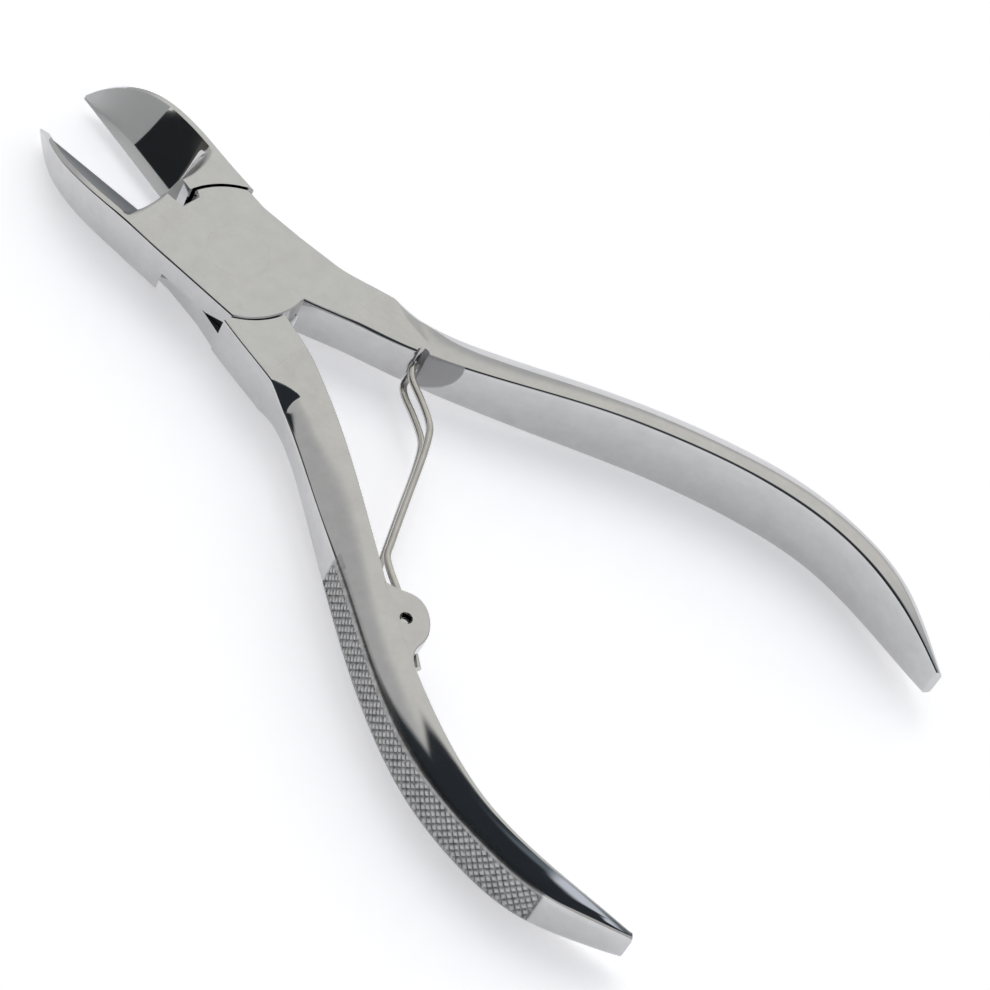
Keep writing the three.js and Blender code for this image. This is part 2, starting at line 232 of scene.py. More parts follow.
def combine(obj, operation, *others):
    """Joins, cuts or crops obj by the others, which are used up."""
    for other in others:
        modifier = obj.modifiers.new("step", "BOOLEAN")
        modifier.operation = operation
        modifier.solver = "MANIFOLD"
        modifier.object = other
    depsgraph = bpy.context.evaluated_depsgraph_get()
    mesh = bpy.data.meshes.new_from_object(obj.evaluated_get(depsgraph))
    obj.modifiers.clear()
    obj.data = mesh
    for other in others:
        bpy.data.objects.remove(other)
    return obj


def finish_mesh(obj, angle=32, weight=True):
    """Raises the shape to its place, sets metres, and gives it clean smooth shading."""
    obj.data.transform(Matrix.Translation((0, 0, H)))
    obj.data.transform(Matrix.Scale(MM, 4))
    bm = bmesh.new()
    bm.from_mesh(obj.data)
    bmesh.ops.dissolve_degenerate(bm, edges=bm.edges, dist=2e-7)
    bm.to_mesh(obj.data)
    bm.free()
    obj.data.shade_smooth()
    obj.data.set_sharp_from_angle(angle=math.radians(angle))
    if weight:
        modifier = obj.modifiers.new("shading", "WEIGHTED_NORMAL")
        modifier.mode = "FACE_AREA"
        modifier.weight = 50
        modifier.keep_sharp = True
    return obj


# --- jaws -------------------------------------------------------------------------------------------
# Along the jaw, u runs from the pivot to the tip; across it, v runs from the cutting edge outwards.
JAW_WIDTH = {
    1: Curve((3, 7.97), (5, 7.95), (12, 7.5), (17, 7.1), (21.5, 6.2), (25, 4.75), (28, 2.5), (30.3, 0.2)),
    -1: Curve((3, 7.82), (5, 7.8), (12, 7.35), (17, 7.1), (21.5, 6.4), (25, 5.15), (28.4, 2.8), (31.1, 0.2)),
}
JAW_TOP = {
    1: Curve((3, H), (5, H), (14, H - 0.1), (20, 2.3), (24, 1.3), (28, -0.7), (30.3, -2.7)),
    -1: Curve((3, H), (5, H), (14, H), (20, H), (24, 2.9), (27.4, 1.9), (29.8, -0.3), (31.1, -2.5)),
}


def jaw_widths(side, width):
    """How far the second bevel and the hollow reach from the cutting edge."""
    strip = max(width - WALL_W, width * WALL_SHARE)
    return min(BEVEL_W[side], strip * BEVEL_SHARE), strip


def jaw_top(side, u, v, width, top):
    bevel, strip = jaw_widths(side, width)
    edge = -H + EDGE_RISE
    s = np.clip((v - bevel) / (strip - bevel), 0, 1)
    knee = edge + BEVEL_SLOPE[side] * bevel
    rise = SCOOP_LINEAR * s + (1 - SCOOP_LINEAR) * s**2
    hollow = np.where(v < bevel, lerp(edge, knee, v / bevel), knee + (top - knee) * rise)
    start = SCOOP_START[side] + SCOOP_SPREAD[side] * v * v
    depth = smooth(u, start, start + SCOOP_RAMP)
    return np.where(v >= strip, top, lerp(top, hollow, depth))


def jaw_ring(side, u):
    width = float(JAW_WIDTH[side](u))
    top = float(JAW_TOP[side](u))
    wall = min(0.3, width * 0.3, (top + H) * 0.3)
    bevel, strip = jaw_widths(side, width)
    v = np.concatenate([
        np.linspace(0, bevel, 4)[:-1],
        np.linspace(bevel, strip, 30)[:-1],
        np.linspace(strip, width - wall, 4)[:-1],
    ])
    ring = [np.column_stack([v + EDGE_INSET, jaw_top(side, u, v, width, top)])]
    ring.append(bezier((width - wall, top), (width, top), (width, top - wall), 7))
    z = np.linspace(top - wall, -H + wall, 6)[1:-1]
    ring.append(np.column_stack([np.full(4, width), z]))
    ring.append(bezier((width, -H + wall), (width, -H), (width - wall, -H), 5))
    ring.append(np.array([(width * 0.5, -H), (EDGE_INSET, -H)]))
    return np.vstack(ring)


def jaw_point(side, u, v):
    angle = math.radians(JAW_ANGLE[side])
    x = -u * math.cos(angle) + v * math.sin(angle)
    y = -u * math.sin(angle) - v * math.cos(angle)
    return x, side * y


def jaw(side):
    tip = JAW_TIP[side]
    u = np.concatenate([
        np.linspace(4, 11, 5)[:-1],
        np.linspace(11, 17, 41)[:-1],
        np.linspace(17, tip - 1.5, 46)[:-1],
        np.linspace(tip - 1.5, tip, 10),
    ])
    rings = []
    for one in u:
        ring = jaw_ring(side, one)
        x, y = jaw_point(side, one, ring[:, 0])
        rings.append(np.column_stack([x, y, ring[:, 1]]))
    return loft("jaw", rings)


# --- handles ----------------------------------------------------------------------------------------
INNER_EDGE = Curve(
    (8, 0.9), (13, 2.8), (22.8, 7.1), (31.8, 12.4), (44.8, 21.0), (54.1, 26.3), (64.2, 30.7), (73, 32.9),
    (81, 33.0), (88.2, 31.8), (95.2, 29.9),
)
OUTER_EDGE = Curve(
    (3, 8.6), (6, 8.95), (9.7, 9.6), (14, 10.7), (18.5, 12.0), (24, 14.4), (30, 17.8), (42, 24.9), (54, 31.6),
    (65, 35.8), (76, 37.0), (85, 35.9), (92, 32.7), (95.9, 30.5),
)
INNER_HEIGHT = Curve(
    (8, H), (24, 3.25), (33, 3.9), (45, 4.72), (51, 4.8), (57, 4.86), (64, 4.86), (73, 4.72),
    (85, 4.3), (92, 3.2), (95.2, 2.4),
)
OUTER_HEIGHT = Curve(
    (3, H), (14, 2.9), (18, 2.3), (23, 1.8), (30, 2.0), (42, 3.0), (58, 3.1), (74, 3.6), (86, 3.2),
    (95.9, 1.9),
)
OUTER_HEIGHT_FIRST = 20.5  # nearer the joint, the outer edge keeps its height from here
RISE_START, RISE_END = 14, 24  # where the handle rises from the joint's flat face to the inner height
# The facet's upper edge, before the lean: along the outer edge first, then inwards.
FACET_LINE = Curve(
    (8, 9.9), (12.2, 10.6), (14, 11.1), (15.4, 11.3), (16.8, 10.95), (17.9, 10.45), (19.9, 9.95), (27, 9.6),
)
FACET_SLOPE = 0.46
CROWN_START, CROWN_END = 20, 32  # where lever B's crown grows from a flat with a steep side to round
CROWN_FLAT = 0.6  # share of the width that stays flat where it begins
CROWN_STEEP, CROWN_ROUND = 1.2, 2.0
CROWN_FALL = 1.1
KNURL_START, KNURL_END = 38.6, 85.5  # X on lever B's outer face
KNURL_PITCH, KNURL_CROSS, KNURL_DEPTH = 1.25, 1.6, 0.22
KNURL_STRIP = 0.45  # wider rounding between the crown and the knurled face
EDGE_ROUND = 0.38
WALL_SWELL = 0.10
HANDLE_FIRST = 0.035  # share of the outer edge's length where the handle's first section stands
HANDLE_RUN = 118.0


def lean(x):
    return HANDLE_LEAN * smooth(x, LEAN_START, LEAN_END)


def facet_drop(x, y):
    """Fall of the ground facet that leads from the joint's flat face down to the start of the crown."""
    return FACET_SLOPE * np.maximum(y - FACET_LINE(x), 0)


def knurl_length(x):
    """1 along the knurled part of lever B's handle, 0 before and after it."""
    return smooth(x, KNURL_START, KNURL_START + 0.5) * smooth(x, KNURL_END + 0.2, KNURL_END - 0.1)


def knurl(x, along, z, low):
    """How deep the diamond knurl is at a point of the outer face, as a share of its full depth.

    low is half the height of the knurled band.
    """
    a = np.abs(((along / KNURL_PITCH + z / KNURL_CROSS) % 1) - 0.5) * 2
    b = np.abs(((along / KNURL_PITCH - z / KNURL_CROSS) % 1) - 0.5) * 2
    groove = np.maximum(smooth(a, 0.35, 1.0), smooth(b, 0.35, 1.0))
    end_line = smooth(np.abs(x - KNURL_END), 0.35, 0.1)
    rim = smooth(np.abs(z), low - 0.1, low - 0.35)
    return np.maximum(groove * knurl_length(x), end_line) * rim


def handle_ring(side, xi, xo, along):
    inner = np.array([xi, float(INNER_EDGE(xi))])
    outer = np.array([xo, float(OUTER_EDGE(xo))])
    width = float(np.linalg.norm(outer - inner))
    high = lerp(H, float(INNER_HEIGHT(xi)), float(smooth(xi, RISE_START, RISE_END)))
    low = float(OUTER_HEIGHT(max(xo, OUTER_HEIGHT_FIRST)))
    ri = EDGE_ROUND / width
    round_out = lerp(0.22, EDGE_ROUND, float(smooth(xo, 12, 24)))
    if side < 0:
        round_out += KNURL_STRIP * float(smooth(xo, KNURL_START - 6, KNURL_START + 6))
    ro = round_out / width

    def crown(s):
        x = lerp(xi, xo, s)
        y = lerp(inner[1], outer[1], s)
        begun = smooth(x, CROWN_START, CROWN_END) if side < 0 else 1.0
        level = CROWN_FLAT * (1 - begun)
        share = np.maximum(s - level, 0) / (1 - level)
        drop = (high - low) * CROWN_FALL * share ** lerp(CROWN_STEEP, CROWN_ROUND, begun)
        return lerp(H, high, smooth(x, RISE_START, RISE_END)) - np.minimum(drop, facet_drop(x, y))

    s = np.linspace(ri, 1 - ro, 26)
    top = np.column_stack([s, crown(s)])
    inner_top = float(crown(0.0))
    first = bezier((0, inner_top - EDGE_ROUND), (0, inner_top), (ri, crown(ri)), 7)[:-1]
    slope = (crown(1 - ro) - crown(1 - 2 * ro)) / ro
    corner = float(crown(1 - ro) + slope * ro)
    last = bezier((1 - ro, crown(1 - ro)), (1, corner), (1, corner - round_out), 7)[1:]
    rows = 24 if side < 0 else 6
    wall_in = np.column_stack([np.zeros(5), np.linspace(0, inner_top - EDGE_ROUND, 6)[:-1]])
    wall_out = np.column_stack([np.ones(rows), np.linspace(corner - round_out, 0, rows + 1)[1:]])
    half = np.vstack([wall_in, first, top[1:-1], last, wall_out])
    lower = half[1:-1][::-1] * (1, -1)
    ring = np.vstack([half, lower])
    x = lerp(inner[0], outer[0], ring[:, 0])
    y = lerp(inner[1], outer[1], ring[:, 0])
    swell = WALL_SWELL * (1 - (ring[:, 1] / max(high, corner)) ** 2) * float(smooth(xi, 16, 30))
    across = (outer - inner) / width
    push = np.where(ring[:, 0] < 1e-6, -swell * 0.6, 0.0) + np.where(ring[:, 0] > 1 - 1e-6, swell * 0.4, 0.0)
    if side < 0:
        outer_face = ring[:, 0] > 1 - 1e-6
        push = push - outer_face * KNURL_DEPTH * knurl(xo, along, ring[:, 1], corner - KNURL_STRIP)
    x = x + push * across[0]
    y = y + push * across[1]
    y = y + side * lean(x)
    return np.column_stack([x, side * y, ring[:, 1]])


def handle(side):
    if side < 0:
        shares = np.linspace(0, 1, 4000)
        length = OUTER_EDGE.spread(lerp(HANDLE_FIRST, 1, shares))
        t0 = float(np.interp(KNURL_START - 0.3, length, shares))
        t1 = float(np.interp(KNURL_END + 0.5, length, shares))
        t = np.concatenate([
            np.linspace(0, t0, 130)[:-1],
            np.linspace(t0, t1, 440)[:-1],
            np.linspace(t1, 1, 30),
        ])
    else:
        t = np.linspace(0, 1, 280)
    inner = INNER_EDGE.spread(t)
    outer = OUTER_EDGE.spread(lerp(HANDLE_FIRST, 1, t))
    rings = [handle_ring(side, xi, xo, HANDLE_RUN * one) for one, xi, xo in zip(t, inner, outer)]
    return loft("handle", rings)


# --- lap joint --------------------------------------------------------------------------------------
def arc(radius, start, end, steps):
    turn = np.radians(np.linspace(start, end, steps))
    return [(radius * math.cos(t), radius * math.sin(t)) for t in turn]


def plate_outline(side):
    """Lever A's half plate in plan. Lever B's is mirrored in the XZ plane afterwards."""
    front = HUB_R if side > 0 else HUB_R_B_FRONT
    swell = 0.3 if side > 0 else -0.3
    rear = math.degrees(math.atan2(-7.7, 6.55))
    points = []
    for u in (11.4, 9, 7, 5):
        x, y = jaw_point(side, u, float(JAW_WIDTH[side](u)) - 0.01)
        points.append((x, side * y))
    points += arc(HUB_R, rear, 4, 60)
    points += [(x, float(INNER_EDGE(x)) + side * float(lean(x)) + 0.2) for x in (10, 11.5, 13)]
    points += [(x, float(OUTER_EDGE(x)) + side * float(lean(x)) - 0.03) for x in (12, 10.7, 9.5)]
    points += [(2.7, 8.2 + swell), (-3, 7.55 + swell)]
    points += arc(front, 127, 167, 40)
    points.append((-8.9, 1.7))
    for u, v in ((9.1, 0.12), (9.7, 0.12), (10.2, 0.2), (10.7, 0.9), (11.1, 2.0)):
        x, y = jaw_point(side, u, v)
        points.append((x, side * y))
    return points


def quarter_room(low, high):
    """Room for the other lever's half plate, wider behind the pivot than in front of it."""
    outline = arc(HUB_R + HUB_GAP, -90, 90, 80) + arc(HUB_R_B_FRONT + HUB_GAP, 90, 270, 80)
    return slab("room", outline, low, high)


def lever(side):
    near = LAP_GAP / 2
    body = combine(jaw(side), "UNION", handle(side))
    if side > 0:
        room = quarter_room(-H - 1, near)
        plate = slab("plate", plate_outline(1), near, H, round_high=0.25)
    else:
        room = drum("room", HUB_R + HUB_GAP, -near, H + 1, segments=192)
        outline = [(x, -y) for x, y in plate_outline(-1)][::-1]
        plate = slab("plate", outline, -H, -near, round_low=0.25)
    combine(body, "DIFFERENCE", room)
    combine(body, "UNION", plate)
    hole = drum("hole", RIVET_R + RIVET_GAP, -H - 1, H + 1, segments=96)
    return combine(body, "DIFFERENCE", hole)


def add_lug(body):
    """Two ears on lever B's inner side with a slot between them, crossed by the pin's hole."""
    along = np.array([math.cos(LUG_TURN), math.sin(LUG_TURN)])
    up = np.array([-along[1], along[0]])

    def at(a, b):
        return tuple(np.array([PIN_X, PIN_Y]) + a * along + b * up)

    knots = [
        (-5.3, 1.6), (-3.5, 2.25), (-2.4, 2.92), (-1.2, 3.4), (0.4, 3.26), (2.07, 2.2), (3.27, 0.66),
        (3.62, -0.5), (3.68, -1.5), (3.95, -2.55), (4.5, -3.3), (5.6, -4.2),
    ]
    rim = catmull(knots, 8)
    ear = [(PIN_X + x, PIN_Y + y) for x, y in rim] + [at(6.6, -1.2), at(-4.8, -1.3)]
    ear = ear[::-1]
    lug = slab("lug", ear, -LUG_HALF, LUG_HALF, round_low=0.2, round_high=0.2)
    combine(body, "UNION", lug)
    room = [at(-9, -1.5), at(4.6, -1.9), at(8.5, -0.6), at(8.5, 6), at(-9, 6)]
    slot = slab("slot", room, -SLOT_HALF, SLOT_HALF)
    hole = drum("hole", LUG_HOLE_R, -8, 8, PIN_X, PIN_Y, segments=40)
    return combine(body, "DIFFERENCE", slot, hole)


def cut_groove(body):
    """The groove that takes the spring's hook, and the dimple beside it, on lever A's inner side."""
    groove = drum("groove", GROOVE_R, -6, 6, GROOVE_X, GROOVE_Y, segments=40)
    radius = (RELIEF_R**2 + RELIEF_DEPTH**2) / (2 * RELIEF_DEPTH)
    outward = np.array((0.5, -0.866, 0))
    along = np.array((0.866, 0.5, 0))
    start = np.array((GROOVE_X, GROOVE_Y + 0.15, RELIEF_Z))
    relief = ball("relief", start + (radius - RELIEF_DEPTH) * outward, radius)
    corners = ((-BEYOND, 0), (-BEYOND, BEYOND), (BEYOND, BEYOND), (BEYOND, 0))
    far_side = [tuple((start + a * outward + b * along)[:2]) for a, b in corners]
    combine(relief, "INTERSECT", slab("side", far_side, -BEYOND, RELIEF_TOP))
    return combine(body, "DIFFERENCE", groove, relief)


# --- spring -----------------------------------------------------------------------------------------
STRAND = [
    (55.3, -24.0), (52.9, -22.3), (50.9, -20.75), (48.4, -19.2), (45.6, -17.7), (42.2, -15.7), (41.3, -14.2),
    (37.0, -5.9), (32.9, 1.7), (31.6, 3.1), (28.3, 4.9), (25.8, 6.1), (24.7, 7.2),
]


def catmull(points, per_span):
    """A centripetal Catmull-Rom curve through the points."""
    p = np.array(points, float)
    p = np.vstack([2 * p[0] - p[1], p, 2 * p[-1] - p[-2]])
    out = []
    for i in range(1, len(p) - 2):
        quad = p[i - 1 : i + 3]
        knot = np.concatenate([[0], np.cumsum(np.linalg.norm(np.diff(quad, axis=0), axis=1) ** 0.5)])
        for t in np.linspace(knot[1], knot[2], per_span, endpoint=False):
            row = list(quad)
            for level in range(1, 4):
                for j in range(4 - level):
                    left, right = knot[j], knot[j + level]
                    row[j] = ((right - t) * row[j] + (t - left) * row[j + 1]) / (right - left)
            out.append(row[0])
    out.append(p[-2])
    return np.array(out)


def tube(name, path, radius, sides=20):
    tangent = np.gradient(path, axis=0)
    tangent /= np.linalg.norm(tangent, axis=1)[:, None]
    normal = np.cross(tangent[0], (0, 0, 1))
    normal /= np.linalg.norm(normal)
    rings = []
    for point, t in zip(path, tangent):
        normal = normal - t * np.dot(normal, t)
        normal /= np.linalg.norm(normal)
        side = np.cross(t, normal)
        turn = np.linspace(0, 2 * math.pi, sides, endpoint=False)[:, None]
        rings.append(point + radius * (np.cos(turn) * normal + np.sin(turn) * side))
    return loft(name, rings)


def spring():
    lower = [(x, y, -WIRE_Z) for x, y in STRAND]
    bar = [(GROOVE_X, GROOVE_Y - 0.2, -WIRE_Z + 0.7), (GROOVE_X, GROOVE_Y - 0.2, WIRE_Z - 0.7)]
    upper = [(x, y, WIRE_Z) for x, y in STRAND][::-1]
    return tube("spring_wire", catmull(lower + bar + upper, 14), WIRE_R)


# --- materials --------------------------------------------------------------------------------------
STEEL_DARK, STEEL_LIGHT = (0.54, 0.54, 0.54), (0.61, 0.61, 0.605)
POLISH_ROUGH = 0.055
CLOUD_SCALE, FINE_SCALE, KNURL_SHADE_SCALE = 350.0, 900.0, 1500.0
LINE_SCALE = (60, 5200, 5200)  # polishing lines run along the tool
POLISH_DEPTH = 0.00002

# The joint's flat faces are ground, which scatters more light than polish does.
FLAT_DARK, FLAT_LIGHT = (0.57, 0.57, 0.56), (0.64, 0.64, 0.628)
FLAT_SATIN = 0.12
FLAT_METAL = 0.5
FLAT_END, FLAT_FADE = 14.5, 1.5
FLAT_NEAR, FLAT_FAR = 0.00001, 0.00002  # metres from the top face's level

# Each jaw's nose and second bevel, and the dimple beside the groove, are satin. Their colours are painted:
# painted shade on lever A's nose and bevel and in the dimple, painted light on lever B's nose and bevel.
NOSE_START = {1: 12.0, -1: 22.2}
ON_JAW = 11.6
SATIN_PAINTED_SHADE_AND_LIGHT = {1: (0.16, 0.17, 0.185), -1: (0.68, 0.685, 0.675)}
DIMPLE_PAINTED_SHADE = (0.38, 0.38, 0.39)
SATIN_ROUGH = 0.38
SATIN_METAL = 0.15
RUN_OUT_ROUGH = 0.3

# Painted shade in lever B's knurl: a near-black colour over the knurled face, deepest in its grooves and
# strongest along its rims.
KNURL_SHADE_COLOUR = (0.06, 0.06, 0.058)
KNURL_SHADE_ROUGH = 0.35
KNURL_SHADE_FACE, KNURL_SHADE_STRIP = 0.30, 0.62  # on the knurled face as a whole, and along its rims
KNURL_SHADE_REACH = 0.9


class Nodes:
    """Small helper that builds one material's node tree."""

    def __init__(self, name):
        self.material = bpy.data.materials.new(name)
        self.material.use_nodes = True
        self.tree = self.material.node_tree
        self.shader = self.tree.nodes["Principled BSDF"]
        self.place = self.add("ShaderNodeTexCoord").outputs["Object"]

    def add(self, kind, inputs=None, **settings):
        node = self.tree.nodes.new(kind)
        for key, value in settings.items():
            setattr(node, key, value)
        for key, value in (inputs or {}).items():
            socket = node.inputs[key]
            if isinstance(value, bpy.types.NodeSocket):
                self.tree.links.new(value, socket)
            else:
                socket.default_value = value
        return node

    def scaled(self, scale):
        inputs = {"Vector": self.place, "Scale": scale}
        return self.add("ShaderNodeMapping", inputs).outputs["Vector"]

    def noise(self, scale, detail=3.0, roughness=0.5, vector=None):
        inputs = {"Vector": vector or self.place, "Scale": scale, "Detail": detail, "Roughness": roughness}
        return self.add("ShaderNodeTexNoise", inputs).outputs["Fac"]

    def spread(self, value, low, high, to_low, to_high):
        inputs = {"Value": value, "From Min": low, "From Max": high, "To Min": to_low, "To Max": to_high}
        return self.add("ShaderNodeMapRange", inputs).outputs["Result"]

    def maths(self, operation, a, b):
        return self.add("ShaderNodeMath", {0: a, 1: b}, operation=operation).outputs[0]

    def ramp(self, value, *stops):
        node = self.add("ShaderNodeValToRGB", {"Fac": value})
        elements = node.color_ramp.elements
        while len(elements) < len(stops):
            elements.new(0.5)
        for element, (position, colour) in zip(elements, stops):
            element.position = position
            element.color = (*colour, 1)
        return node.outputs["Color"]

    def mix(self, share, first, second):
        second = second if isinstance(second, bpy.types.NodeSocket) else (*second, 1)
        return self.add("ShaderNodeMix", {0: share, 6: first, 7: second}, data_type="RGBA").outputs[2]

    def bump(self, height, strength, distance, normal=None):
        inputs = {"Height": height, "Strength": strength, "Distance": distance}
        if normal is not None:
            inputs["Normal"] = normal
        return self.add("ShaderNodeBump", inputs).outputs["Normal"]

    def wire(self, **inputs):
        for key, value in inputs.items():
            socket = self.shader.inputs[key.replace("_", " ")]
            if isinstance(value, bpy.types.NodeSocket):
                self.tree.links.new(value, socket)
            else:
                socket.default_value = value
        return self.material


def along_direction(n, turn, offset):
    """Millimetres beyond a line across the tool, whose direction is given by the bearing it faces."""
    bearing = (math.cos(turn) / MM, math.sin(turn) / MM, 0)
    reach = n.add("ShaderNodeVectorMath", {0: n.place, 1: bearing}, operation="DOT_PRODUCT").outputs["Value"]
    return n.maths("SUBTRACT", reach, offset)


def facing(n, way):
    """1 where the surface leans towards the given way, 0 elsewhere."""
    normal = n.add("ShaderNodeTexCoord").outputs["Normal"]
    lean_in = n.add("ShaderNodeVectorMath", {0: normal, 1: way}, operation="DOT_PRODUCT").outputs["Value"]
    return n.spread(lean_in, 0.05, 0.12, 0, 1)


def jaw_mask(n, side):
    """The jaw's nose and its cutting bevel, which are ground satin instead of polished."""
    angle = math.radians(JAW_ANGLE[side])
    nose = along_direction(n, math.pi + side * angle, NOSE_START[side])
    nose = n.spread(nose, -0.12, 0.12, 0, 1)
    bevel = along_direction(n, side * (angle - math.pi / 2), 0)
    bevel = n.spread(n.maths("ABSOLUTE", bevel, 0), BEVEL_W[side] + 0.12, BEVEL_W[side] - 0.05, 0, 1)
    on_jaw = n.spread(along_direction(n, math.pi, ON_JAW), -0.1, 0.1, 0, 1)
    on_jaw = n.maths("MULTIPLY", on_jaw, facing(n, (0, side, 0)))
    return n.maths("MULTIPLY", n.maths("MAXIMUM", nose, bevel), on_jaw)


def run_out_mask(n, side):
    """The blend between the jaw's hollow and the joint's flat face, which is only coarsely polished."""
    reach = along_direction(n, math.pi + side * math.radians(JAW_ANGLE[side]), SCOOP_START[side])
    before = n.spread(reach, SCOOP_RAMP + 0.5, SCOOP_RAMP - 0.2, 0, 1)
    after = n.spread(reach, -0.4, -0.2, 0, 1)
    return n.maths("MULTIPLY", n.maths("MULTIPLY", before, after), facing(n, (-0.9, side * 0.3, 0)))


def dimple_mask(n):
    """The dimple: near the groove, on its handle side and on the inner face."""
    start = (GROOVE_X * MM, GROOVE_Y * MM, (RELIEF_Z + H) * MM)
    away = n.add("ShaderNodeVectorMath", {0: n.place, 1: start}, operation="DISTANCE").outputs["Value"]
    near = n.spread(away, (RELIEF_R + 0.1) * MM, (RELIEF_R - 0.15) * MM, 0, 1)
    right = n.spread(along_direction(n, math.radians(30), 0.866 * GROOVE_X + 0.5 * GROOVE_Y), 0, 0.1, 0, 1)
    return n.maths("MULTIPLY", n.maths("MULTIPLY", near, right), facing(n, (0.3, -0.52, 0)))


def steel(name, dark, light, rough, grain, side=0, metallic=1.0):
    """Polished steel, with faint clouding and fine polishing lines along the tool.

    side says which lever it is for, if any, and adds that lever's satin and ground areas, the satin ones with
    painted shade on lever A and painted light on lever B, and painted shade in lever B's knurl.
    """
    n = Nodes(name)
    cloud = n.noise(CLOUD_SCALE, 4.0, 0.6)
    fine = n.noise(FINE_SCALE, 3.0, 0.6)
    lines = n.noise(1.0, 4.0, 0.6, n.scaled(LINE_SCALE))
    mixed = n.maths("ADD", n.maths("MULTIPLY", cloud, 0.7), n.maths("MULTIPLY", fine, 0.3))
    colour = n.ramp(mixed, (0.3, dark), (0.7, light))
    clouded = n.spread(mixed, 0.3, 0.7, rough * 0.8, rough * 1.2)
    roughness = n.maths("ADD", clouded, n.spread(lines, 0.3, 0.7, 0, 0.02))
    if side:
        satin = jaw_mask(n, side)
        # painted shade on lever A's satin nose and bevel, painted light on lever B's
        colour = n.mix(satin, colour, SATIN_PAINTED_SHADE_AND_LIGHT[side])
        if side > 0:
            dimple = dimple_mask(n)
            # painted shade in the dimple beside the groove
            colour = n.mix(dimple, colour, DIMPLE_PAINTED_SHADE)
            satin = n.maths("MAXIMUM", satin, dimple)
        height = n.add("ShaderNodeSeparateXYZ", {"Vector": n.place}).outputs["Z"]
        off_flat = n.maths("ABSOLUTE", n.maths("SUBTRACT", height, 2 * H * MM), 0)
        ahead = n.spread(along_direction(n, 0, FLAT_END), 0, FLAT_FADE, 1, 0)
        on_flat = n.maths("MULTIPLY", n.spread(off_flat, FLAT_FAR, FLAT_NEAR, 0, 1), ahead)
        colour = n.mix(on_flat, colour, n.ramp(mixed, (0.3, FLAT_DARK), (0.7, FLAT_LIGHT)))
        satin_metal = n.spread(satin, 0, 1, 1, SATIN_METAL)
        metallic = n.maths("MINIMUM", satin_metal, n.spread(on_flat, 0, 1, 1, FLAT_METAL))
        satin_rough = n.maths("MULTIPLY", satin, SATIN_ROUGH)
        ground = n.maths("MAXIMUM", satin_rough, n.maths("MULTIPLY", on_flat, FLAT_SATIN))
        roughness = n.maths("ADD", roughness, ground)
        roughness = n.maths("ADD", roughness, n.maths("MULTIPLY", run_out_mask(n, side), RUN_OUT_ROUGH))
    if side < 0:
        # painted shade in the knurl's grooves and along the knurled band's rims, made patchy by noise
        knurl_shade = n.add("ShaderNodeAttribute", attribute_name="knurl_shade").outputs["Fac"]
        patchy = n.spread(n.noise(KNURL_SHADE_SCALE, 2.0), 0.35, 0.65, 0.6, 1.0)
        colour = n.mix(n.maths("MULTIPLY", knurl_shade, patchy), colour, KNURL_SHADE_COLOUR)
        roughness = n.maths("ADD", roughness, n.maths("MULTIPLY", knurl_shade, KNURL_SHADE_ROUGH))
    bump = n.bump(lines, grain, POLISH_DEPTH)
    bump = n.bump(fine, grain * 0.6, POLISH_DEPTH, bump)
    return n.wire(Base_Color=colour, Roughness=roughness, Metallic=metallic, Normal=bump)


def add_knurl_shade(obj):
    """Stores, at each point of lever B, how much painted shade darkens the knurl there."""
    mesh = obj.data
    count = len(mesh.vertices)
    points = np.zeros(count * 3)
    mesh.vertices.foreach_get("co", points)
    points = points.reshape(-1, 3) / MM
    x, y, z = points[:, 0], -points[:, 1], points[:, 2] - H
    shares = np.linspace(0, 1, 4000)
    along = HANDLE_RUN * np.interp(x, OUTER_EDGE.spread(lerp(HANDLE_FIRST, 1, shares)), shares)
    outside = y > OUTER_EDGE(x) - lean(x) - KNURL_SHADE_REACH
    rim = OUTER_HEIGHT(x) - KNURL_STRIP
    strip = smooth(np.abs(z), rim - 0.35, rim - 0.15) * (np.abs(z) < rim + KNURL_STRIP + 0.05)
    knurled = lerp(KNURL_SHADE_FACE, 1, knurl(x, along, z, rim))
    knurl_shade = lerp(knurled, KNURL_SHADE_STRIP, strip) * knurl_length(x) * outside
    layer = mesh.attributes.new("knurl_shade", "FLOAT", "POINT")
    layer.data.foreach_set("value", knurl_shade.astype(np.float32))


# --- pieces -----------------------------------------------------------------------------------------
polished_a = steel("polished_steel", STEEL_DARK, STEEL_LIGHT, POLISH_ROUGH, 0.04, side=1)
polished_b = steel("polished_steel_knurled", STEEL_DARK, STEEL_LIGHT, POLISH_ROUGH, 0.04, side=-1)
rivet_rough = POLISH_ROUGH + FLAT_SATIN
rivet_steel = steel("rivet_steel", FLAT_DARK, FLAT_LIGHT, rivet_rough, 0.04, metallic=FLAT_METAL)
wire_steel = steel("wire_steel", (0.52, 0.51, 0.48), (0.66, 0.65, 0.61), 0.16, 0.25)
pin_steel = steel("pin_steel", (0.60, 0.60, 0.60), (0.72, 0.72, 0.72), 0.14, 0.12)


def place(obj, name, body, node, material):
    """Names a piece, gives it its material, hides the CAD node it stands for and, if a body is given, hangs
    it on that body.
    """
    obj.name = name
    obj.data.materials.clear()
    obj.data.materials.append(material)
    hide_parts(node)
    if body:
        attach(obj, body)


lever_a = finish_mesh(cut_groove(lever(1)))
place(lever_a, "lever_a_forging", "lever_a", "lever_a", polished_a)

lever_b = finish_mesh(add_lug(lever(-1)))
add_knurl_shade(lever_b)
place(lever_b, "lever_b_forging", "lever_b", "lever_b", polished_b)

rivet = drum("rivet", RIVET_R, -H, H, segments=96)
finish_mesh(rivet)
place(rivet, "rivet_ground_flush", "lever_a", "joint_rivet", rivet_steel)

